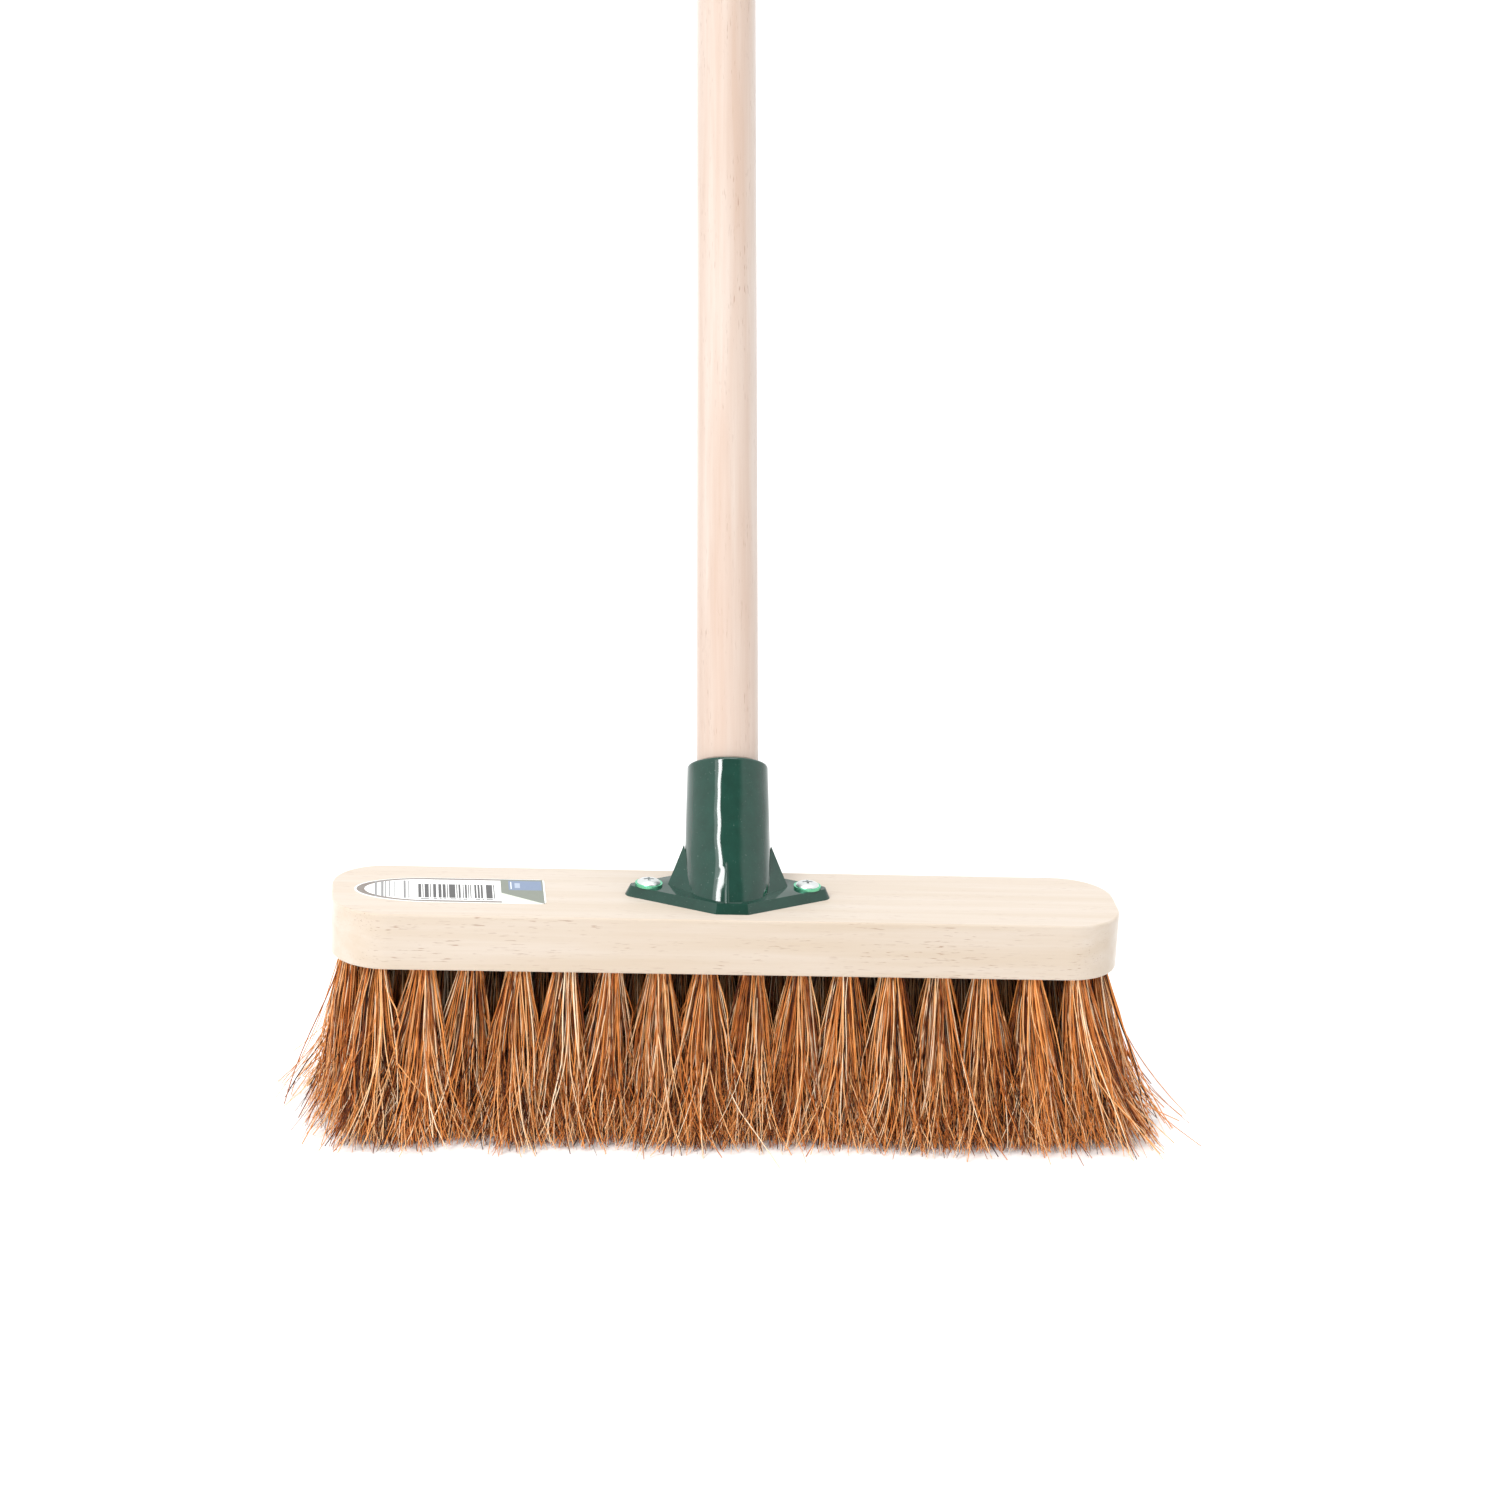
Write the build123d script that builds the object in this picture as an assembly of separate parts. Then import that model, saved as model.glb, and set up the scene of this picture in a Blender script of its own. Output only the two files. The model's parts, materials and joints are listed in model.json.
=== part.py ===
from build123d import *
import os
from math import atan, cos, degrees, radians, sin, tan

# A push broom, in millimetres. A wooden stock carries five rows of coir tufts, each folded over a wire
# anchor and pulled into a blind hole. A moulded socket is screwed to the top of the stock and holds the
# pole, which leans back. The origin is on the floor under the middle of the stock: +X runs along the
# stock, +Y points to the back, where the pole leans, and +Z is up.

# Stock
stock_length = 300.0
stock_width = 55.0
stock_thickness = 22.0
stock_corner_radius = 21.0
stock_edge_radius = 0.8

# Tufts: rows run along the stock, front row first, and alternate rows are staggered by half a pitch
bristle_length = 68.0  # free length, from the underside of the stock to the floor
tufts_per_row = [16, 17, 16, 17, 16]
tuft_end_margin = 8.4  # from the end of the stock to the middle of the outermost hole
tuft_side_margin = 7.5  # from the side of the stock to the middle of the outermost row
hole_diameter = 8.0
hole_depth = 11.5
end_flare = 14.0  # how far the outermost tufts lean past their holes at the floor
row_flare = 1.3  # spacing of the rows at the floor, as a multiple of their spacing at the stock
row_tip_gap = 2.5  # between one row and the next at the floor

# Wire anchors that the tufts are folded over
anchor_thickness = 0.5
anchor_height = 3.5
anchor_depth = 1.0  # below the blind end of the hole

# Socket
pole_lean = 32.0  # degrees back from upright
plate_thickness = 3.8
plate_skirt = 1.8  # how far the top of the plate is set in from its foot
plate_front_margin = 1.1  # of the plate's foot, in front of the tube
plate_flat = 12.4  # straight length at the front and at the back of the plate
plate_nose = 12.9  # from the middle of a screw to where the plate's slanted sides would meet
plate_tip_radius = 4.0
socket_depth = 51.0  # along the pole, from the top of the stock to the rim
socket_wall = 3.65  # at the rim
socket_draft = 1.2  # how much wider the tube is at the top of the stock than at the rim, all round
socket_rim_rounding = 1.3
socket_mouth_chamfer = 0.6
socket_setback = -0.4  # y of the pole's axis where it meets the top of the stock
gusset_reach = 7.1  # past the side of the tube, at the foot
gusset_height = 16.8
rib_width = 2.6
rib_height = 9.2  # along the pole, from the top of the stock
rib_turn = -7.0  # degrees round the tube from its front
boss_margin = 0.4  # all round the pole screw's flange

# Pole
pole_diameter = 23.8
pole_length = 1200.0
pole_seat = 12.5  # along the pole, from the top of the stock to its lower end
pole_end_chamfer = 1.0
pole_top_rounding = 9.0
spigot_step = 0.2  # the pole's lower end is turned down by this, all round, to go into the socket
spigot_margin = 1.0  # how far the spigot stands out of the socket

# Screws: a domed head with a cross recess on a flange, and a pointed shank
screw_radius = 1.9
screw_head_radius = 4.5
screw_head_height = 1.6
screw_flange_radius = 5.2
screw_flange_thickness = 0.9
screw_point_length = 3.0
screw_point_gap = 2.5  # of wood, between a stock screw's point and the blind end of a tuft's hole
screw_gusset_gap = 1.3  # between a stock screw's flange and the foot of the gusset
recess_length = 3.8
recess_width = 0.9
recess_depth = 1.3
pole_screw_height = 38.0  # along the pole, from the top of the stock

# Label on the top of the stock, left of the socket
label_end_margin = 8.5  # from the left end of the stock
label_length = 72.0
label_width = 26.5
label_round_length = 29.0
label_corner_radius = 2.0
label_thickness = 0.2

# Clearances
pole_clearance = 0.15  # all round the pole in the socket
screw_clearance = 0.05  # all round a screw in wood
screw_hole_clearance = 0.3  # all round a screw in the plate
root_clearance = 0.1  # between a tuft and its hole
anchor_clearance = 0.05  # between a wire anchor and its tuft
flex_gap = 0.3  # between the part of a tuft that is held and the part that bends

stock_top = bristle_length + stock_thickness
hole_radius = hole_diameter / 2
tuft_pitch = (stock_length - 2 * tuft_end_margin) / (max(tufts_per_row) - 1)
row_pitch = (stock_width - 2 * tuft_side_margin) / (len(tufts_per_row) - 1)
tip_depth = row_pitch * row_flare - row_tip_gap  # of one tuft, front to back, at the floor
flex_height = bristle_length - flex_gap - hole_radius
end_tuft_x = stock_length / 2 - tuft_end_margin
pole_radius = pole_diameter / 2
spigot_radius = pole_radius - spigot_step
spigot_length = socket_depth + spigot_margin - pole_seat
bore_radius = spigot_radius + pole_clearance
socket_rim_radius = bore_radius + socket_wall
socket_base_radius = socket_rim_radius + socket_draft
gusset_foot = socket_base_radius + gusset_reach
screw_x = gusset_foot + screw_gusset_gap + screw_flange_radius
screw_length = plate_thickness + stock_thickness - hole_depth - screw_point_gap
plate_apex = screw_x + plate_nose
upright = (Align.CENTER, Align.CENTER, Align.MIN)
pole_axis = Plane(
    origin=(0, socket_setback, stock_top),
    x_dir=(1, 0, 0),
    z_dir=(0, sin(radians(pole_lean)), cos(radians(pole_lean))),
)
plate_half_depth = (
    socket_base_radius / cos(radians(pole_lean)) - socket_setback + plate_front_margin
)


def row_y(row):
    return (row - (len(tufts_per_row) - 1) / 2) * row_pitch


def tuft_places(row):
    """Where the row's tufts leave the stock."""
    count = tufts_per_row[row]
    return [((i - (count - 1) / 2) * tuft_pitch, row_y(row)) for i in range(count)]


def tip_x(x):
    """Where a bristle that leaves the stock at x meets the floor: the ends of the rows splay out."""
    return x + end_flare * (x / end_tuft_x) ** 3


def bend_together(solids):
    """Separate solids that share one node."""
    return Compound(children=list(solids))


def tuft(x, y):
    """The free part of a tuft: a round neck that swells to the floor, domed where it bends."""
    left = tip_x(x - tuft_pitch / 2)
    right = tip_x(x + tuft_pitch / 2)
    tips = Pos((left + right) / 2, y * row_flare, 0) * Ellipse((right - left) / 2, tip_depth / 2)
    neck = Pos(x, y, flex_height) * Circle(hole_radius)
    dome = Pos(x, y, flex_height) * Sphere(hole_radius, arc_size1=0, align=upright)
    return loft([tips, neck], ruled=True) + dome


def anchor_block(x, y, margin):
    """The flat wire across a hole, near its blind end, with a margin all round."""
    top = bristle_length + hole_depth - anchor_depth
    return Pos(x, y, top - anchor_height / 2) * Box(
        hole_diameter - 2 * root_clearance,
        anchor_thickness + 2 * margin,
        anchor_height + 2 * margin,
    )


def tuft_root(x, y):
    """The part of a tuft that fills its hole, folded over the wire anchor."""
    bundle = Pos(x, y, bristle_length) * Cylinder(
        hole_radius - root_clearance, hole_depth - root_clearance, align=upright
    )
    return bundle - anchor_block(x, y, anchor_clearance)


def screw():
    """A screw with the underside of its flange at z = 0 and its point down."""
    profile = Polyline(
        (0, -screw_length),
        (screw_radius, -screw_length + screw_point_length),
        (screw_radius, 0),
        (screw_flange_radius, 0),
        (screw_flange_radius, screw_flange_thickness),
        (screw_head_radius, screw_flange_thickness),
    )
    head_top = screw_flange_thickness + screw_head_height
    dome = EllipticalCenterArc(
        (0, screw_flange_thickness), screw_head_radius, screw_head_height, arc_size=90
    )
    middle = Line((0, head_top), (0, -screw_length))
    outline = Plane.XZ * make_face([profile, dome, middle])
    recess = Pos(0, 0, head_top - recess_depth)
    arms = [
        recess * Box(recess_length, recess_width, screw_head_height, align=upright),
        recess * Box(recess_width, recess_length, screw_head_height, align=upright),
    ]
    return revolve(outline, Axis.Z) - arms


def stock_screw_places():
    plate_top = stock_top + plate_thickness
    return {"left": Pos(-screw_x, 0, plate_top), "right": Pos(screw_x, 0, plate_top)}


def pole_screw_place():
    """On the rear of the socket, square to the pole, with the screw's head outwards."""
    boss_face = socket_base_radius + screw_flange_thickness
    return pole_axis.location * Pos(0, boss_face, pole_screw_height) * Rot(-90, 0, 0)


def make_stock():
    block = extrude(
        RectangleRounded(stock_length, stock_width, stock_corner_radius), stock_thickness
    )
    flat_ends = block.faces().filter_by(Plane.XY)
    block = Pos(0, 0, bristle_length) * fillet(flat_ends.edges(), stock_edge_radius)
    holes = [
        Pos(x, y, bristle_length) * Cylinder(hole_radius, hole_depth, align=upright)
        for row in range(len(tufts_per_row))
        for x, y in tuft_places(row)
    ]
    pilots = [place * screw_bore(screw_clearance) for place in stock_screw_places().values()]
    return block - holes - pilots


def screw_bore(clearance):
    """The hole for a screw's shank, from just above its flange to just past its point."""
    bottom = -screw_length - clearance
    return Pos(0, 0, bottom) * Cylinder(
        screw_radius + clearance, screw_length + screw_flange_thickness, align=upright
    )


def socket_plate():
    corners = [
        (plate_apex, 0),
        (plate_flat / 2, plate_half_depth),
        (-plate_flat / 2, plate_half_depth),
        (-plate_apex, 0),
        (-plate_flat / 2, -plate_half_depth),
        (plate_flat / 2, -plate_half_depth),
    ]
    outline = make_face(Polyline(*corners, close=True))
    tips = outline.vertices().sort_by(Axis.X)
    outline = fillet([tips[0], tips[-1]], plate_tip_radius)
    slope = degrees(atan(plate_skirt / plate_thickness))
    return Pos(0, 0, stock_top) * extrude(outline, plate_thickness, taper=slope)


def socket_tube():
    """The drafted tube along the pole, with a rounded rim, cut off at the top of the stock."""
    below = 2 * socket_base_radius
    foot_radius = socket_base_radius + socket_draft * below / socket_depth
    tube = Pos(0, 0, -below) * Cone(
        foot_radius, socket_rim_radius, socket_depth + below, align=upright
    )
    rim = tube.edges().sort_by(Axis.Z)[-1]
    tube = fillet(rim, socket_rim_rounding)
    boss = Pos(0, 0, pole_screw_height) * Rot(-90, 0, 0) * Cylinder(
        screw_flange_radius + boss_margin,
        socket_base_radius + screw_flange_thickness,
        align=upright,
    )
    above_stock = Pos(0, 0, stock_top) * Box(
        4 * socket_depth, 4 * socket_depth, 4 * socket_depth, align=upright
    )
    return (pole_axis.location * (tube + boss)) & above_stock


def gusset(side):
    """A three-sided buttress from the plate to the side of the tube; side is -1 or 1."""
    foot = stock_top + plate_thickness / 2
    inner = side * socket_base_radius * 0.8
    depth = socket_base_radius * 0.7
    base = Polyline(
        (side * gusset_foot, 0, foot), (inner, -depth, foot), (inner, depth, foot), close=True
    )
    apex_y = socket_setback + gusset_height * tan(radians(pole_lean))
    apex = Vertex(side * socket_base_radius, apex_y, stock_top + gusset_height)
    return loft([make_face(base), apex], ruled=True)


def front_rib():
    """A slim half-round rib at the foot of the tube's front, which tapers into the tube."""
    lean = radians(pole_lean)
    foot = plate_thickness / 2 / cos(lean) - socket_base_radius * tan(lean)
    length = rib_height - foot
    sink = degrees(atan(rib_width / 4 / length))
    rib = Cone(rib_width / 2, rib_width / 4, length, align=upright)
    rib = Pos(0, -socket_base_radius, foot) * Rot(-sink, 0, 0) * rib
    return pole_axis.location * Rot(0, 0, rib_turn) * rib


def make_socket():
    body = socket_plate() + socket_tube() + gusset(-1) + gusset(1) + front_rib()
    bore = Pos(0, 0, pole_seat) * Cylinder(bore_radius, socket_depth, align=upright)
    mouth = Pos(0, 0, socket_depth - socket_mouth_chamfer) * Cone(
        bore_radius,
        bore_radius + socket_mouth_chamfer,
        socket_mouth_chamfer,
        align=upright,
    )
    body -= pole_axis.location * (bore + mouth)
    for place in stock_screw_places().values():
        body -= place * screw_bore(screw_hole_clearance)
    return body - pole_screw_place() * screw_bore(screw_hole_clearance)


def make_pole():
    spigot = Pos(0, 0, pole_seat) * Cylinder(spigot_radius, spigot_length, align=upright)
    spigot = chamfer(spigot.edges().filter_by(GeomType.CIRCLE).sort_by(Axis.Z)[0], pole_end_chamfer)
    shaft = Pos(0, 0, pole_seat + spigot_length) * Cylinder(
        pole_radius, pole_length - spigot_length, align=upright
    )
    shaft = fillet(shaft.edges().filter_by(GeomType.CIRCLE).sort_by(Axis.Z)[-1], pole_top_rounding)
    pole = spigot + shaft
    return pole_axis.location * pole - pole_screw_place() * screw_bore(screw_clearance)


def make_label():
    """A thin label with one half-elliptical end, towards the end of the stock, and one square end."""
    half = label_width / 2
    tip = label_end_margin - stock_length / 2
    left, right = tip + label_round_length, tip + label_length
    round_end = EllipticalCenterArc((left, 0), label_round_length, half, 90, arc_size=180)
    square_end = Polyline((left, -half), (right, -half), (right, half), (left, half))
    outline = make_face([round_end, square_end])
    corners = outline.vertices().sort_by(Axis.X)[-2:]
    outline = fillet(corners, label_corner_radius)
    return Pos(0, 0, stock_top) * extrude(outline, label_thickness)


def row_nodes(row):
    """The three nodes of one row: the free tufts, their roots in the stock and the wire anchors."""
    places = tuft_places(row)
    number = row + 1
    return {
        f"tufts_row_{number}": bend_together(tuft(x, y) for x, y in places),
        f"tuft_roots_row_{number}": bend_together(tuft_root(x, y) for x, y in places),
        f"tuft_anchors_row_{number}": bend_together(anchor_block(x, y, 0) for x, y in places),
    }


nodes = {
    "stock": make_stock(),
    "socket": make_socket(),
    "pole": make_pole(),
    "label": make_label(),
    "pole_screw": pole_screw_place() * screw(),
}
for side_name, screw_place in stock_screw_places().items():
    nodes[f"socket_screw_{side_name}"] = screw_place * screw()
for row_index in range(len(tufts_per_row)):
    nodes.update(row_nodes(row_index))

os.makedirs("parts", exist_ok=True)
for node_name, shape in nodes.items():
    export_step(shape, f"parts/{node_name}.step")
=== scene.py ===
import json
from math import cos, pi, radians, sin

import bpy
from mathutils import Matrix, Vector


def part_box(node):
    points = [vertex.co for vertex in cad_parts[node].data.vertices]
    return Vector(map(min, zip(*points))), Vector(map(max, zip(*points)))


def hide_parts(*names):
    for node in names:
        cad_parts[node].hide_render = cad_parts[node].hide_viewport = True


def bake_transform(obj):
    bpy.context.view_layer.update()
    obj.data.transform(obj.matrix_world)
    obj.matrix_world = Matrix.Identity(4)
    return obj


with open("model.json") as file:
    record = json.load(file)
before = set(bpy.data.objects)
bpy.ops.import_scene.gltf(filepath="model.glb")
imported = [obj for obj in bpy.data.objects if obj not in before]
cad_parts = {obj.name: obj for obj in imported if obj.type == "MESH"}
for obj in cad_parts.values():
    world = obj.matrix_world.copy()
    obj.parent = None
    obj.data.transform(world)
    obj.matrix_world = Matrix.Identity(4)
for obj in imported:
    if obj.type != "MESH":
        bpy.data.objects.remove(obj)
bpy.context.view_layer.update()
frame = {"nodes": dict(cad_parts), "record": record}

mm = 0.001

# Places and sizes from the frame
stock_low, stock_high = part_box("stock")
label_low, label_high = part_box("label")
grip = next(mount for mount in frame["record"]["mounts"] if mount["name"] == "pole_grip")
pole_lean = Vector((0, 0, 1)).angle(Vector(grip["axis"]))

# Tufts
tufts_per_row = [16, 17, 16, 17, 16]
left_flare = 5.5 * mm  # how far the outermost tufts lean past their holes at the floor
right_flare = 17.0 * mm  # the same at the other end, where more of them splay out
row_flare = 1.3  # spacing of the rows at the floor, as a multiple of their spacing at the stock
fan = 1.55  # how much wider than its share of the row a tuft spreads at the floor
fan_margin = 8.0 * mm  # how far the fibres spread past the middle of the outermost tuft
# Painted shade: roots that other tufts surround are painted dark, standing in for the shade there
inner_painted_shade = 0.92  # how dark the roots are that other tufts surround, from 0 to 1
root_depth = 3.0 * mm  # how far the fibres run up into their holes
tip_clearance = 0.25 * mm  # the lowest that a fibre's middle line comes to the floor
tip_thinning = 0.45  # how much of its thickness a fibre loses on the way to its tip
stray_gain = 2.5  # how much more than the others a stray fibre scatters and waves
lock_pull_shares = (1.0, 0.6, 0.0)  # of a lock's pull, along, across and up
lock_rise = 1.5  # how much of a lock's own lift goes into the height of its tips
rarity = 4.0  # the higher, the fewer fibres end high up

# Socket screws
screw_dome_height = 1.45 * mm  # from just over the flange to the top of the head

# Label print, measured from the label's rounded end and from its middle line
print_round = 29.0  # millimetres, like the others here
print_half_width = 13.25
print_panel_end = 55.3
print_bars = (23.6, 52.8)
wedge_slope = 0.72  # of the line between the two flat inks
wedge_drop = 2.0  # how far below the middle line it meets the panel's end
ring_start = 0.87  # of the dark ring, as a share of the way from the middle line to the outline
ring_end = 0.975


def colour(code):
    """An sRGB hex colour as the linear values that the shaders use."""
    channels = [int(code[i : i + 2], 16) / 255 for i in (1, 3, 5)]
    linear = [c / 12.92 if c <= 0.04045 else ((c + 0.055) / 1.055) ** 2.4 for c in channels]
    return (*linear, 1.0)


def pick(sockets, key):
    """The live socket with that name, or with that number among the live ones."""
    live = [s for s in sockets if s.enabled]
    return live[key] if isinstance(key, int) else next(s for s in live if s.name == key)


def feed(tree, node, inputs):
    """Sets a node's inputs: each takes a value, another node or one of its sockets."""
    for key, value in inputs.items():
        socket = pick(node.inputs, key)
        if isinstance(value, bpy.types.Node):
            value = pick(value.outputs, 0)
        if isinstance(value, bpy.types.NodeSocket):
            tree.links.new(value, socket)
        else:
            socket.default_value = value


def add(tree, kind, inputs=None, **settings):
    """Adds a node with its settings and its inputs."""
    node = tree.nodes.new(kind)
    for name, value in settings.items():
        setattr(node, name, value)
    feed(tree, node, inputs or {})
    return node


def new_material(name):
    """A material with only its shader, its output and the piece's own coordinates."""
    material = bpy.data.materials.new(name)
    material.use_nodes = True
    tree = material.node_tree
    tree.nodes.clear()
    shader = add(tree, "ShaderNodeBsdfPrincipled")
    add(tree, "ShaderNodeOutputMaterial", {"Surface": shader})
    place = add(tree, "ShaderNodeTexCoord").outputs["Object"]
    return material, tree, shader, place


def sanded_rubberwood(name, light, dark, pore, grain, turn=0.0):
    """Bare sanded rubberwood: pale, matt, with soft streaks and short brown pores along the grain.

    Sanding leaves a fine nap, which looks paler where it is seen edge on. The pores and fibres
    are drawn coarser than real ones, so that they show.

    grain is the axis of the grain, 0 to 2, once the piece is turned about X.
    """
    material, tree, shader, place = new_material(name)
    turned = add(tree, "ShaderNodeMapping", {"Vector": place, "Rotation": (turn, 0, 0)})
    figure = {}
    for pattern, across, along, detail in (
        ("bands", 6.0, 120.0, 3.0),
        ("fibres", 0.8, 30.0, 4.0),
        ("pores", 0.42, 5.0, 1.0),
        ("clusters", 8.0, 30.0, 3.0),
    ):
        sizes = [1 / (across * mm)] * 3
        sizes[grain] = 1 / (along * mm)
        scaled = add(tree, "ShaderNodeVectorMath", {0: turned, 1: sizes}, operation="MULTIPLY")
        figure[pattern] = add(
            tree, "ShaderNodeTexNoise", {"Vector": scaled, "Scale": 1.0, "Detail": detail}
        )
    shares = {}
    for pattern, low, high, least, most in (
        ("bands", 0.35, 0.68, 0.0, 1.0),
        ("fibres", 0.35, 0.75, 0.0, 0.4),
        ("pores", 0.64, 0.74, 0.0, 0.6),
        ("clusters", 0.44, 0.64, 0.12, 1.0),
    ):
        shares[pattern] = add(
            tree,
            "ShaderNodeMapRange",
            {
                "Value": figure[pattern],
                "From Min": low,
                "From Max": high,
                "To Min": least,
                "To Max": most,
            },
        )
    pores = add(
        tree,
        "ShaderNodeMath",
        {0: shares["pores"], 1: shares["clusters"]},
        operation="MULTIPLY",
    )
    wood = colour(light)
    for share, stain in ((shares["bands"], dark), (shares["fibres"], dark), (pores, pore)):
        wood = add(
            tree,
            "ShaderNodeMix",
            {"Factor": share, "A": wood, "B": colour(stain)},
            data_type="RGBA",
        )
    relief = add(tree, "ShaderNodeMath", {0: figure["fibres"], 1: pores}, operation="SUBTRACT")
    bump = add(
        tree, "ShaderNodeBump", {"Height": relief, "Strength": 0.3, "Distance": 0.06 * mm}
    )
    roughness = add(
        tree, "ShaderNodeMapRange", {"Value": figure["fibres"], "To Min": 0.5, "To Max": 0.68}
    )
    feed(
        tree,
        shader,
        {
            "Base Color": wood,
            "Roughness": roughness,
            "Normal": bump,
            "IOR": 1.5,
            "Sheen Weight": 0.8,
            "Sheen Roughness": 0.4,
        },
    )
    return material


def moulded_polypropylene():
    """Green polypropylene straight from a polished mould: glossy, a little sunken and dusty.

    The dust is drawn coarser than real dust, so that it shows.
    """
    material, tree, shader, place = new_material("moulded_polypropylene")
    figure = {}
    for pattern, size, detail in (("sinks", 20.0, 0.5), ("flow", 5.0, 3.0), ("dust", 0.5, 2.0)):
        figure[pattern] = add(
            tree,
            "ShaderNodeTexNoise",
            {"Vector": place, "Scale": 1 / (size * mm), "Detail": detail},
        )
    dust = add(
        tree,
        "ShaderNodeMapRange",
        {"Value": figure["dust"], "From Min": 0.71, "From Max": 0.77, "To Max": 0.4},
    )
    green = colour("#19362d")
    for share, stain in ((figure["flow"], "#1f463b"), (dust, "#a9bbb0")):
        green = add(
            tree,
            "ShaderNodeMix",
            {"Factor": share, "A": green, "B": colour(stain)},
            data_type="RGBA",
        )
    gloss = add(
        tree, "ShaderNodeMapRange", {"Value": figure["flow"], "To Min": 0.05, "To Max": 0.09}
    )
    bump = add(
        tree, "ShaderNodeBump", {"Height": figure["sinks"], "Strength": 1.0, "Distance": 1.6 * mm}
    )
    bump = add(
        tree,
        "ShaderNodeBump",
        {"Height": dust, "Strength": 0.3, "Distance": 0.05 * mm, "Normal": bump},
    )
    feed(tree, shader, {"Base Color": green, "Roughness": gloss, "Normal": bump, "IOR": 1.5})
    return material


def bright_zinc():
    """Bright zinc plate: a soft grey mirror, with a painted mint-green highlight on the flange.

    The fine marks are drawn coarser than real ones.
    """
    material, tree, shader, place = new_material("bright_zinc")
    figure = {}
    for pattern, size, detail in (("marks", 0.6, 4.0), ("cloud", 4.0, 2.0)):
        figure[pattern] = add(
            tree,
            "ShaderNodeTexNoise",
            {"Vector": place, "Scale": 1 / (size * mm), "Detail": detail},
        )
    # Painted highlight: everything below the flange's top is tinted mint green, the green socket's
    # tint
    height = add(tree, "ShaderNodeSeparateXYZ", {"Vector": place}).outputs["Z"]
    flange_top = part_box("socket_screw_left")[1][2] - screw_dome_height
    painted_highlight_zone = add(tree, "ShaderNodeMath", {0: height, 1: flange_top}, operation="LESS_THAN")
    metal = colour("#d3d9da")
    for share, stain in ((figure["cloud"], "#eef1ef"), (painted_highlight_zone, "#7fd9b2")):
        metal = add(
            tree,
            "ShaderNodeMix",
            {"Factor": share, "A": metal, "B": colour(stain)},
            data_type="RGBA",
        )
    gloss = add(
        tree, "ShaderNodeMapRange", {"Value": figure["marks"], "To Min": 0.28, "To Max": 0.45}
    )
    bump = add(
        tree, "ShaderNodeBump", {"Height": figure["marks"], "Strength": 0.2, "Distance": 0.04 * mm}
    )
    feed(
        tree,
        shader,
        {"Base Color": metal, "Roughness": gloss, "Normal": bump, "Metallic": 1.0},
    )
    return material


def coir_fibre():
    """Natural coir: nearly matt, golden to dark brown, each fibre its own tone and a bit blotched.

    Each fibre has a tone, the place along it, and a painted shade: how dark its root is painted
    where it stands among other tufts, standing in for the shade there.
    """
    material, tree, shader, place = new_material("coir_fibre")
    kept = {
        name: add(tree, "ShaderNodeAttribute", attribute_name=name).outputs["Fac"]
        for name in ("tone", "along", "painted_shade")
    }
    blotches = add(
        tree, "ShaderNodeTexNoise", {"Vector": place, "Scale": 1 / (5 * mm), "Detail": 3.0}
    )
    tone_shift = add(
        tree, "ShaderNodeMath", {0: blotches, 1: 0.4, 2: -0.2}, operation="MULTIPLY_ADD"
    )
    tone = add(tree, "ShaderNodeMath", {0: kept["tone"], 1: tone_shift}, operation="ADD")
    ramp = add(tree, "ShaderNodeValToRGB", {"Fac": tone})
    stops = ramp.color_ramp.elements
    stops[0].color = colour("#1f0c05")
    stops[1].color = colour("#ffe6c6")
    for position, code in (
        (0.18, "#673216"),
        (0.34, "#bf6c32"),
        (0.6, "#f09c52"),
        (0.82, "#f7c189"),
    ):
        stops.new(position).color = colour(code)
    # Painted shade: fibres among other tufts darken towards the root, down to near black
    depth = add(
        tree, "ShaderNodeMapRange", {"Value": kept["along"], "From Min": 0.5, "From Max": 0.05}
    )
    painted_root_shadow = add(tree, "ShaderNodeMath", {0: depth, 1: kept["painted_shade"]}, operation="MULTIPLY")
    brown = add(
        tree,
        "ShaderNodeMix",
        {"Factor": painted_root_shadow, "A": ramp.outputs["Color"], "B": colour("#160a05")},
        data_type="RGBA",
    )
    roughness = add(
        tree, "ShaderNodeMapRange", {"Value": blotches, "To Min": 0.35, "To Max": 0.6}
    )
    feed(tree, shader, {"Base Color": brown, "Roughness": roughness, "Specular IOR Level": 0.2})
    return material


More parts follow.
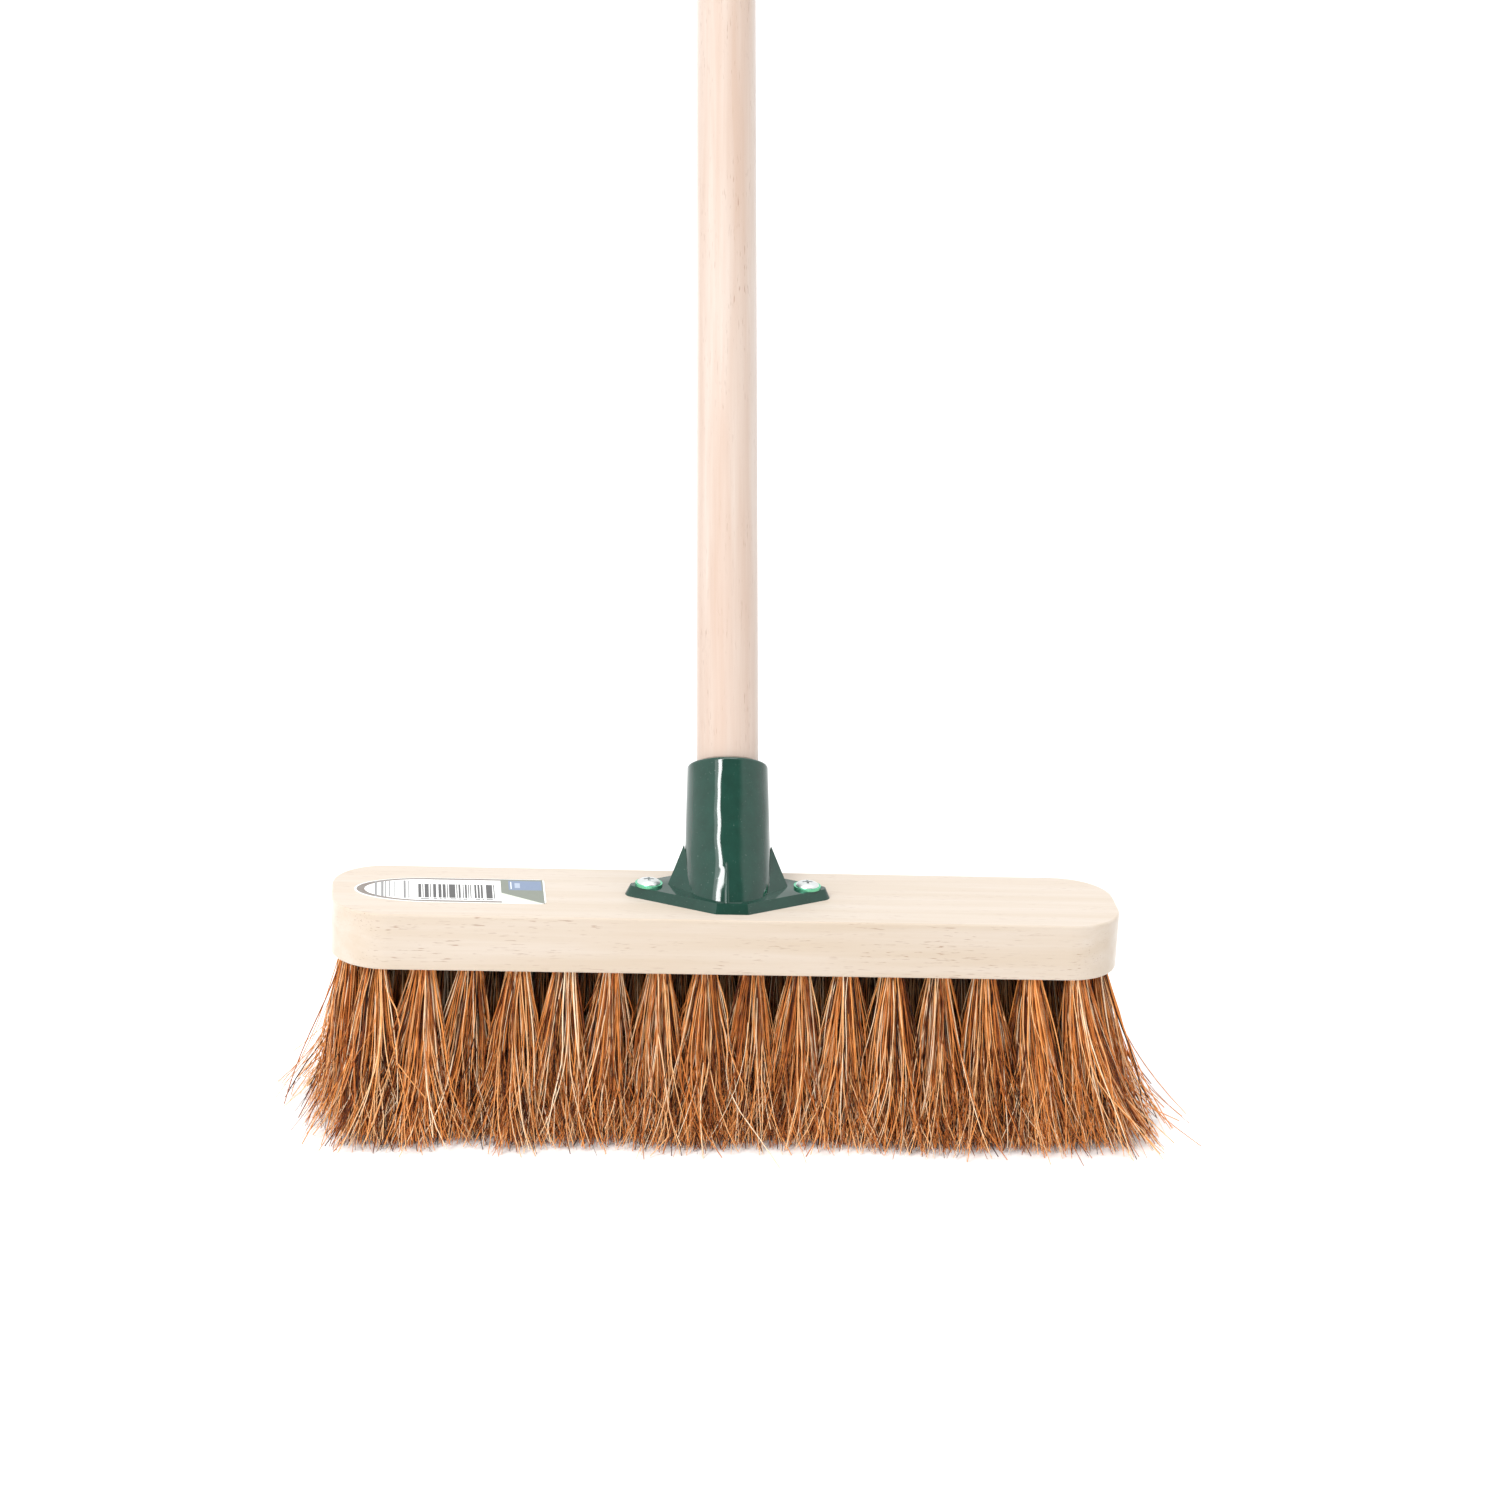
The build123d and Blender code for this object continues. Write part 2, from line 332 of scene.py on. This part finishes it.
def printed_paper():
    """Satin paper, printed with a ringed white panel, plain bars and blocks of flat ink.

    The mottling is drawn coarser than the grain of real paper.
    """
    material, tree, shader, place = new_material("printed_paper")
    corner = (label_low[0], (label_low[1] + label_high[1]) / 2, label_high[2])
    from_corner = add(tree, "ShaderNodeVectorMath", {0: place, 1: corner}, operation="SUBTRACT")
    in_mm = add(
        tree, "ShaderNodeVectorMath", {0: from_corner, "Scale": 1 / mm}, operation="SCALE"
    )
    spot = add(tree, "ShaderNodeSeparateXYZ", {"Vector": in_mm}).outputs
    grain = add(
        tree, "ShaderNodeTexNoise", {"Vector": place, "Scale": 1 / (3 * mm), "Detail": 3.0}
    )

    # How near the edge: 0 along the middle line, 1 on the label's outline
    from_round = add(
        tree, "ShaderNodeMath", {0: spot["X"], 1: print_round}, operation="SUBTRACT"
    )
    in_round = add(tree, "ShaderNodeMath", {0: from_round, 1: 0.0}, operation="MINIMUM")
    oval = add(tree, "ShaderNodeCombineXYZ", {"X": in_round, "Y": spot["Y"]})
    scaled = add(
        tree,
        "ShaderNodeVectorMath",
        {0: oval, 1: (print_round, print_half_width, 1.0)},
        operation="DIVIDE",
    )
    edge = add(tree, "ShaderNodeVectorMath", {0: scaled}, operation="LENGTH")

    # Windows in the print: their ends along the label, then across it
    windows = {}
    for name, low, high, bottom, top in (
        ("panel", 0.0, print_panel_end, -11.3, 11.3),
        ("inset", 58.3, 70.8, 1.2, 11.4),
        ("inset_mark", 59.0, 59.4, 2.4, 10.2),
        ("inset_spot", 60.6, 62.6, 3.6, 9.0),
        ("bars", *print_bars, -8.6, 6.4),
        ("bar_ticks", *print_bars, -10.4, -9.2),
        ("first_lines", 7.6, 15.4, -8.4, 8.8),
        ("second_lines", 17.8, 20.8, -9.6, 9.8),
        ("paper_end", 71.4, 99.0, -14.0, 14.0),
    ):
        sides = [
            add(
                tree,
                "ShaderNodeMath",
                {0: spot[axis], 1: (first + last) / 2, 2: (last - first) / 2},
                operation="COMPARE",
            )
            for axis, first, last in (("X", low, high), ("Y", bottom, top))
        ]
        windows[name] = add(
            tree, "ShaderNodeMath", dict(enumerate(sides)), operation="MULTIPLY"
        )

    # Bars and broken lines, each stripe on or off at random
    stripes = {}
    for name, window, pitch, share in (
        ("bars", "bars", 0.4, 0.38),
        ("ticks", "bar_ticks", 0.8, 0.45),
        ("first", "first_lines", 0.5, 0.6),
        ("second", "second_lines", 0.45, 0.6),
    ):
        number = add(tree, "ShaderNodeMath", {0: spot["X"], 1: pitch}, operation="SNAP")
        draw = add(tree, "ShaderNodeTexWhiteNoise", {"W": number}, noise_dimensions="1D")
        chosen = add(
            tree, "ShaderNodeMath", {0: draw.outputs["Value"], 1: share}, operation="GREATER_THAN"
        )
        stripes[name] = add(
            tree, "ShaderNodeMath", {0: chosen, 1: windows[window]}, operation="MULTIPLY"
        )

    inside_ring = add(tree, "ShaderNodeMath", {0: edge, 1: ring_start}, operation="LESS_THAN")
    panel = add(
        tree, "ShaderNodeMath", {0: inside_ring, 1: windows["panel"]}, operation="MULTIPLY"
    )
    end_zone = add(
        tree, "ShaderNodeMath", {0: spot["X"], 1: print_panel_end}, operation="GREATER_THAN"
    )
    slope = add(
        tree,
        "ShaderNodeMath",
        {0: spot["X"], 1: wedge_slope, 2: spot["Y"]},
        operation="MULTIPLY_ADD",
    )
    below_slope = add(
        tree,
        "ShaderNodeMath",
        {0: slope, 1: wedge_slope * print_panel_end - wedge_drop},
        operation="LESS_THAN",
    )
    wedge = add(tree, "ShaderNodeMath", {0: end_zone, 1: below_slope}, operation="MULTIPLY")
    rim = add(tree, "ShaderNodeMath", {0: edge, 1: ring_end}, operation="GREATER_THAN")
    ink = add(
        tree,
        "ShaderNodeMix",
        {"Factor": grain, "A": colour("#6f5a50"), "B": colour("#8d8c86")},
        data_type="RGBA",
    )
    for share, tint in (
        (panel, "#fbfbfa"),
        (end_zone, "#7c8277"),
        (wedge, "#d8dfd0"),
        (windows["inset"], "#7687a3"),
        (windows["inset_mark"], "#e8ecf2"),
        (windows["inset_spot"], "#aab6c8"),
        (stripes["bars"], "#4a4a4a"),
        (stripes["ticks"], "#7c7c7c"),
        (stripes["first"], "#8c8c8c"),
        (stripes["second"], "#858585"),
        (rim, "#fafafa"),
        (windows["paper_end"], "#fafafa"),
    ):
        ink = add(
            tree,
            "ShaderNodeMix",
            {"Factor": share, "A": ink, "B": colour(tint)},
            data_type="RGBA",
        )
    gloss = add(tree, "ShaderNodeMapRange", {"Value": grain, "To Min": 0.3, "To Max": 0.45})
    bump = add(
        tree, "ShaderNodeBump", {"Height": grain, "Strength": 0.2, "Distance": 0.05 * mm}
    )
    feed(tree, shader, {"Base Color": ink, "Roughness": gloss, "Normal": bump, "IOR": 1.5})
    return material


def give(material, *nodes):
    """The CAD nodes take this material."""
    for node in nodes:
        mesh = frame["nodes"][node].data
        mesh.materials.clear()
        mesh.materials.append(material)


def tuft_places(row):
    """Each tuft of a row: its place at the stock and at the floor, half width and painted shade.
    """
    ends = [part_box(f"tuft_roots_row_{number + 1}") for number in range(len(tufts_per_row))]
    low, high = ends[row - 1]
    radius = (high[1] - low[1]) / 2
    y = (low[1] + high[1]) / 2
    end_x = max(end_high[0] for _, end_high in ends) - radius
    count = tufts_per_row[row - 1]
    pitch = (high[0] - low[0] - 2 * radius) / (count - 1)
    places = []
    for i in range(count):
        x = low[0] + radius + i * pitch
        flare = left_flare if x < 0 else right_flare
        floor_x = x + flare * (x / end_x) ** 3
        half_width = min(fan * pitch / 2, end_x + flare + fan_margin - abs(floor_x))
        # Inner tufts get painted shade on their roots; outer rows and end tufts get none
        outside = row in (1, len(tufts_per_row)) or i in (0, count - 1)
        painted_shade = 0.0 if outside else inner_painted_shade
        places.append(((x, y), (floor_x, y * row_flare), half_width, painted_shade))
    return places


def coir_tufts_tree():
    """Geometry nodes that grow coir fibres from one point for each tuft.

    Each point has a tip attribute, the middle of the tuft at the floor, and half_width, its half
    width there. Its painted shade goes with the fibres unchanged.
    """
    tree = bpy.data.node_groups.new("coir_tufts", "GeometryNodeTree")
    for name, kind in (
        ("Tufts", "Geometry"),
        ("Fibres per Tuft", "Int"),
        ("Points per Fibre", "Int"),
        ("Hole Radius", "Float"),
        ("Half Depth", "Float"),
        ("Fibre Radius", "Float"),
        ("Tuft Sway", "Float"),
        ("Tip Scatter", "Float"),
        ("Lock Size", "Float"),
        ("Lock Pull", "Float"),
        ("Bow", "Float"),
        ("Wave Height", "Float"),
        ("Hook", "Float"),
        ("Tip Height", "Float"),
        ("Stray Share", "Float"),
        ("Seed", "Int"),
        ("Material", "Material"),
    ):
        tree.interface.new_socket(name, in_out="INPUT", socket_type=f"NodeSocket{kind}")
    tree.interface.new_socket("Fibres", in_out="OUTPUT", socket_type="NodeSocketGeometry")
    given = add(tree, "NodeGroupInput").outputs

    draws = {}
    flat = ((-1.0, -1.0, 0.0), (1.0, 1.0, 0.0))
    for offset, (name, kind, low, high) in enumerate(
        (
            ("sway", "FLOAT_VECTOR", *flat),
            ("angle", "FLOAT", 0.0, 2 * pi),
            ("reach", "FLOAT", 0.0, 1.0),
            ("stray", "FLOAT", 0.0, 1.0),
            ("scatter", "FLOAT_VECTOR", *flat),
            ("height", "FLOAT", 0.0, 1.0),
            ("bow", "FLOAT_VECTOR", *flat),
            ("side", "FLOAT_VECTOR", (-1.0, -1.0, -0.3), (1.0, 1.0, 0.3)),
            ("hook", "FLOAT_VECTOR", *flat),
            ("phase", "FLOAT", 0.0, 2 * pi),
            ("turns", "FLOAT", 0.5, 2.2),
            ("tone", "FLOAT", 0.0, 1.0),
            ("thickness", "FLOAT", 0.45, 1.45),
        )
    ):
        seed = add(tree, "ShaderNodeMath", {0: given["Seed"], 1: float(offset)}, operation="ADD")
        draws[name] = add(
            tree,
            "FunctionNodeRandomValue",
            {"Min": low, "Max": high, "Seed": seed},
            data_type=kind,
        )
    kept = {
        name: add(tree, "GeometryNodeInputNamedAttribute", {"Name": name}, data_type=kind)
        for name, kind in (
            ("tip", "FLOAT_VECTOR"),
            ("half_width", "FLOAT"),
            ("sway", "FLOAT_VECTOR"),
            ("root", "FLOAT_VECTOR"),
            ("way", "FLOAT_VECTOR"),
            ("pull", "FLOAT_VECTOR"),
            ("bow", "FLOAT_VECTOR"),
            ("side", "FLOAT_VECTOR"),
            ("hook", "FLOAT_VECTOR"),
            ("phase", "FLOAT"),
            ("turns", "FLOAT"),
            ("thickness", "FLOAT"),
        )
    }

    # One point for each fibre, spread over the hole
    swayed = add(
        tree,
        "GeometryNodeStoreNamedAttribute",
        {"Geometry": given["Tufts"], "Name": "sway", "Value": draws["sway"]},
        data_type="FLOAT_VECTOR",
    )
    points = add(
        tree,
        "GeometryNodeDuplicateElements",
        {"Geometry": swayed, "Amount": given["Fibres per Tuft"]},
        domain="POINT",
    )
    reach = add(tree, "ShaderNodeMath", {0: draws["reach"]}, operation="SQRT")
    turned = {
        axis: add(tree, "ShaderNodeMath", {0: draws["angle"]}, operation=wave)
        for axis, wave in (("X", "COSINE"), ("Y", "SINE"))
    }
    ring = add(tree, "ShaderNodeCombineXYZ", turned)
    disc = add(tree, "ShaderNodeVectorMath", {0: ring, "Scale": reach}, operation="SCALE")
    in_hole = add(
        tree, "ShaderNodeVectorMath", {0: disc, "Scale": given["Hole Radius"]}, operation="SCALE"
    )
    here = add(tree, "GeometryNodeInputPosition")
    root = add(tree, "ShaderNodeVectorMath", {0: here, 1: in_hole}, operation="ADD")

    # Where its tip goes: over the tuft's patch of floor, with some scatter and a few strays
    stray = add(
        tree, "ShaderNodeMath", {0: draws["stray"], 1: given["Stray Share"]}, operation="LESS_THAN"
    )
    wildness = add(
        tree, "ShaderNodeMath", {0: stray, 1: stray_gain, 2: 1.0}, operation="MULTIPLY_ADD"
    )
    scatter_size = add(
        tree, "ShaderNodeMath", {0: given["Tip Scatter"], 1: wildness}, operation="MULTIPLY"
    )
    patch = add(
        tree, "ShaderNodeCombineXYZ", {"X": kept["half_width"], "Y": given["Half Depth"]}
    )
    spread = add(tree, "ShaderNodeVectorMath", {0: disc, 1: patch}, operation="MULTIPLY")
    tip = kept["tip"]
    for shift, size in (
        (spread, 1.0),
        (kept["sway"], given["Tuft Sway"]),
        (draws["scatter"], scatter_size),
    ):
        sized = add(tree, "ShaderNodeVectorMath", {0: shift, "Scale": size}, operation="SCALE")
        tip = add(tree, "ShaderNodeVectorMath", {0: tip, 1: sized}, operation="ADD")

    # Neighbouring tips are pulled the same way, into locks, and no two locks end at one height
    lock_size = add(
        tree, "ShaderNodeMath", {0: 1.0, 1: given["Lock Size"]}, operation="DIVIDE"
    )
    locks = add(tree, "ShaderNodeTexNoise", {"Vector": tip, "Scale": lock_size, "Detail": 1.0})
    centred = add(
        tree,
        "ShaderNodeVectorMath",
        {0: locks.outputs["Color"], 1: (0.5, 0.5, 0.5)},
        operation="SUBTRACT",
    )
    pull = add(
        tree, "ShaderNodeVectorMath", {0: centred, "Scale": given["Lock Pull"]}, operation="SCALE"
    )
    flat_pull = add(
        tree, "ShaderNodeVectorMath", {0: pull, 1: lock_pull_shares}, operation="MULTIPLY"
    )
    rise = add(tree, "ShaderNodeSeparateXYZ", {"Vector": centred})
    lock_height = add(tree, "ShaderNodeMath", {0: rise.outputs["Z"]}, operation="ABSOLUTE")
    few_high = add(tree, "ShaderNodeMath", {0: draws["height"], 1: rarity}, operation="POWER")
    height = add(
        tree,
        "ShaderNodeMath",
        {0: lock_height, 1: lock_rise, 2: few_high},
        operation="MULTIPLY_ADD",
    )
    lift = add(
        tree,
        "ShaderNodeCombineXYZ",
        {
            "Z": add(
                tree, "ShaderNodeMath", {0: height, 1: given["Tip Height"]}, operation="MULTIPLY"
            )
        },
    )
    lifted = add(tree, "ShaderNodeVectorMath", {0: tip, 1: lift}, operation="ADD")
    way = add(tree, "ShaderNodeVectorMath", {0: lifted, 1: root}, operation="SUBTRACT")

    # Each point keeps what its fibre needs, with the sizes already in it
    store = points
    wave_height = add(
        tree, "ShaderNodeMath", {0: wildness, 1: given["Wave Height"]}, operation="MULTIPLY"
    )
    for name, value, size in (
        ("root", root, 1.0),
        ("way", way, 1.0),
        ("pull", flat_pull, 1.0),
        ("bow", draws["bow"], given["Bow"]),
        ("side", draws["side"], wave_height),
        ("hook", draws["hook"], given["Hook"]),
    ):
        sized = add(tree, "ShaderNodeVectorMath", {0: value, "Scale": size}, operation="SCALE")
        store = add(
            tree,
            "GeometryNodeStoreNamedAttribute",
            {"Geometry": store, "Name": name, "Value": sized},
            data_type="FLOAT_VECTOR",
        )
    for name, value in (
        ("phase", draws["phase"]),
        ("turns", draws["turns"]),
        ("tone", draws["tone"]),
        ("thickness", draws["thickness"]),
    ):
        store = add(
            tree,
            "GeometryNodeStoreNamedAttribute",
            {"Geometry": store, "Name": name, "Value": value},
            data_type="FLOAT",
        )

    # One curve for each point
    line = add(
        tree,
        "GeometryNodeResampleCurve",
        {"Curve": add(tree, "GeometryNodeCurvePrimitiveLine"), "Count": given["Points per Fibre"]},
    )
    copies = add(tree, "GeometryNodeInstanceOnPoints", {"Points": store, "Instance": line})
    curves = add(tree, "GeometryNodeRealizeInstances", {"Geometry": copies})

    # Straight down out of the hole, then outwards, bowed, waved, pulled into its lock and hooked
    t = add(tree, "GeometryNodeSplineParameter").outputs["Factor"]
    growth = {
        name: add(tree, "ShaderNodeMath", {0: t, 1: exponent}, operation="POWER")
        for name, exponent in (("spread", 1.3), ("pull", 2.2), ("hook", 4.0))
    }
    spreading = add(
        tree, "ShaderNodeCombineXYZ", {"X": growth["spread"], "Y": growth["spread"], "Z": t}
    )
    outwards = add(
        tree, "ShaderNodeVectorMath", {0: kept["way"], 1: spreading}, operation="MULTIPLY"
    )
    arch = add(
        tree,
        "ShaderNodeMath",
        {0: add(tree, "ShaderNodeMath", {0: t, 1: pi}, operation="MULTIPLY")},
        operation="SINE",
    )
    swing = add(
        tree,
        "ShaderNodeMath",
        {
            0: add(tree, "ShaderNodeMath", {0: t, 1: 2 * pi}, operation="MULTIPLY"),
            1: kept["turns"],
            2: kept["phase"],
        },
        operation="MULTIPLY_ADD",
    )
    swung = add(
        tree,
        "ShaderNodeMath",
        {0: add(tree, "ShaderNodeMath", {0: swing}, operation="SINE"), 1: t},
        operation="MULTIPLY",
    )
    course = add(
        tree, "ShaderNodeVectorMath", {0: kept["root"], 1: outwards}, operation="ADD"
    )
    for name, share in (
        ("pull", growth["pull"]),
        ("bow", arch),
        ("side", swung),
        ("hook", growth["hook"]),
    ):
        shift = add(
            tree, "ShaderNodeVectorMath", {0: kept[name], "Scale": share}, operation="SCALE"
        )
        course = add(tree, "ShaderNodeVectorMath", {0: course, 1: shift}, operation="ADD")
    lowest = (-1.0, -1.0, tip_clearance)  # limits only the height: the stock is far under 1 m long
    above_floor = add(
        tree, "ShaderNodeVectorMath", {0: course, 1: lowest}, operation="MAXIMUM"
    )
    shaped = add(
        tree, "GeometryNodeSetPosition", {"Geometry": curves, "Position": above_floor}
    )
    marked = add(
        tree,
        "GeometryNodeStoreNamedAttribute",
        {"Geometry": shaped, "Name": "along", "Value": t},
        data_type="FLOAT",
    )
    thinning = add(
        tree, "ShaderNodeMath", {0: t, 1: -tip_thinning, 2: 1.0}, operation="MULTIPLY_ADD"
    )
    taper = add(
        tree, "ShaderNodeMath", {0: kept["thickness"], 1: thinning}, operation="MULTIPLY"
    )
    profile = add(
        tree,
        "GeometryNodeCurvePrimitiveCircle",
        {"Resolution": 3, "Radius": given["Fibre Radius"]},
    )
    tubes = add(
        tree,
        "GeometryNodeCurveToMesh",
        {"Curve": marked, "Profile Curve": profile, "Scale": taper, "Fill Caps": True},
    )
    smooth = add(tree, "GeometryNodeSetShadeSmooth", {"Geometry": tubes})
    whole = add(tree, "GeometryNodeRealizeInstances", {"Geometry": smooth})
    finished = add(
        tree, "GeometryNodeSetMaterial", {"Geometry": whole, "Material": given["Material"]}
    )
    add(tree, "NodeGroupOutput", {"Fibres": finished})
    return tree


def grow(name, places, tree, values):
    """A plain mesh of the fibres the tree grows from these tufts, each with its painted shade."""
    mesh = bpy.data.meshes.new(name)
    top = stock_low[2] + root_depth
    mesh.from_pydata([(x, y, top) for (x, y), _, _, _ in places], [], [])
    mesh.attributes.new("tip", "FLOAT_VECTOR", "POINT")
    mesh.attributes.new("half_width", "FLOAT", "POINT")
    mesh.attributes.new("painted_shade", "FLOAT", "POINT")
    for i, (_, (x, y), half_width, painted_shade) in enumerate(places):
        mesh.attributes["tip"].data[i].vector = (x, y, 0)
        mesh.attributes["half_width"].data[i].value = half_width
        mesh.attributes["painted_shade"].data[i].value = painted_shade
    seedling = bpy.data.objects.new(name + "_seedling", mesh)
    bpy.context.scene.collection.objects.link(seedling)
    modifier = seedling.modifiers.new("coir", "NODES")
    modifier.node_group = tree
    for item in tree.interface.items_tree:
        if item.name in values and item.in_out == "INPUT":
            modifier[item.identifier] = values[item.name]
    evaluated = seedling.evaluated_get(bpy.context.evaluated_depsgraph_get())
    grown = bpy.data.meshes.new_from_object(evaluated)
    grown.name = name
    bpy.data.objects.remove(seedling)
    piece = bpy.data.objects.new(name, grown)
    bpy.context.scene.collection.objects.link(piece)
    return piece


def make_bristles(material):
    """Each row of tufts as two meshes, one for each half of the stock.

    The fibres are drawn up to twice as thick as real ones, so that fewer fill a tuft.
    """
    tree = coir_tufts_tree()
    last_row = len(tufts_per_row)
    for row in range(1, last_row + 1):
        outer = row in (1, last_row)
        places = tuft_places(row)
        middle = len(places) // 2
        for side, half in (("left", places[:middle]), ("right", places[middle:])):
            values = {
                "Fibres per Tuft": 330 if outer else 220,
                "Points per Fibre": 11,
                "Hole Radius": 3.7 * mm,
                "Half Depth": 5.5 * mm,
                "Fibre Radius": 0.28 * mm,
                "Tuft Sway": 3.0 * mm,
                "Tip Scatter": 3.5 * mm,
                "Lock Size": 8.0 * mm,
                "Lock Pull": 30.0 * mm,
                "Bow": 3.5 * mm,
                "Wave Height": 2.0 * mm,
                "Hook": 10.5 * mm,
                "Tip Height": 7.0 * mm,
                "Stray Share": 0.07,
                "Seed": 100 * row + (50 if side == "right" else 0),
                "Material": material,
            }
            piece = grow(f"coir_row_{row}_{side}", half, tree, values)
            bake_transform(piece)
            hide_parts(f"tufts_row_{row}")


def make_camera():
    """A long lens from above and a little to the left, tilted slightly to one side."""
    azimuth, elevation, roll = radians(5.88), radians(17.76), radians(3.04)
    distance = 1.5
    aim_right, aim_rise = 5.6 * mm, 58.4 * mm  # of the stock's middle and of its top
    aim = Vector((aim_right, 0, stock_high[2] + aim_rise))
    forward = Vector((sin(azimuth), cos(azimuth), 0)) * cos(elevation)
    forward.z = -sin(elevation)
    level = forward.cross(Vector((0, 0, 1))).normalized()
    upright = level.cross(forward)
    right = cos(roll) * level + sin(roll) * upright
    up = cos(roll) * upright - sin(roll) * level
    data = bpy.data.cameras.new("camera")
    data.lens = 95.6
    data.sensor_width = 36.0
    camera = bpy.data.objects.new("camera", data)
    turn = Matrix((right, up, -forward)).transposed().to_4x4()
    camera.matrix_world = Matrix.Translation(aim - forward * distance) @ turn
    bpy.context.scene.collection.objects.link(camera)
    bpy.context.scene.camera = camera


def place_light(name, data, place, aim):
    """A light at a place, turned towards its aim."""
    light = bpy.data.objects.new(name, data)
    light.location = place
    light.rotation_euler = (Vector(aim) - Vector(place)).to_track_quat("-Z", "Y").to_euler()
    bpy.context.scene.collection.objects.link(light)


def make_studio():
    """A pale floor in a white room, dark above the camera, with two softboxes and a soft sun."""
    scene = bpy.context.scene
    scene.view_settings.view_transform = "Standard"
    half = 8.0
    mesh = bpy.data.meshes.new("floor")
    corners = [(-half, -half, 0), (half, -half, 0), (half, half, 0), (-half, half, 0)]
    mesh.from_pydata(corners, [], [(0, 1, 2, 3)])
    floor = bpy.data.objects.new("floor", mesh)
    scene.collection.objects.link(floor)
    material, tree, shader, _ = new_material("floor_paint")
    feed(tree, shader, {"Base Color": colour("#fcfcfc"), "Roughness": 0.9})
    mesh.materials.append(material)

    world = bpy.data.worlds.new("studio")
    world.use_nodes = True
    scene.world = world
    tree = world.node_tree
    tree.nodes.clear()
    direction = add(tree, "ShaderNodeTexCoord").outputs["Generated"]
    dark_middle = Vector((0.05, -1.0, 0.95)).normalized()
    nearness = add(
        tree, "ShaderNodeVectorMath", {0: direction, 1: dark_middle}, operation="DOT_PRODUCT"
    )
    brightness = add(
        tree,
        "ShaderNodeMapRange",
        {"Value": nearness, "From Min": 0.79, "From Max": 0.9, "To Min": 1.1, "To Max": 0.15},
    )
    white = (1.0, 1.0, 1.0, 1.0)
    background = add(tree, "ShaderNodeBackground", {"Color": white, "Strength": brightness})
    add(tree, "ShaderNodeOutputWorld", {"Surface": background})

    softbox_height = 1.3
    for name, x, width, power in (
        ("softbox_core", -0.92, 0.28, 26),
        ("softbox_wing", -1.2, 0.5, 5),
    ):
        softbox = bpy.data.lights.new(name, "AREA")
        softbox.shape = "RECTANGLE"
        softbox.size, softbox.size_y = width, softbox_height
        softbox.energy = power
        place_light(name, softbox, (x, -1.2, 1.6), (0, 0, 0.12))
    sun = bpy.data.lights.new("sun_above", "SUN")
    sun.energy = 0.9
    sun.angle = radians(35)
    place_light("sun_above", sun, (0.1, -0.1, 2.0), (0, 0, 0))


make_camera()
make_studio()

stock_wood = sanded_rubberwood("rubberwood_stock", "#ccbfb1", "#c4b39f", "#84563a", grain=0)
pole_wood = sanded_rubberwood(
    "rubberwood_pole", "#c8b9ae", "#bda595", "#7f543c", grain=2, turn=pole_lean
)
zinc = bright_zinc()
coir = coir_fibre()
give(stock_wood, "stock")
give(pole_wood, "pole")
give(moulded_polypropylene(), "socket")
give(printed_paper(), "label")
give(zinc, "pole_screw", "socket_screw_left", "socket_screw_right")
for row_number in range(1, len(tufts_per_row) + 1):
    give(coir, f"tuft_roots_row_{row_number}")
    give(zinc, f"tuft_anchors_row_{row_number}")
make_bristles(coir)
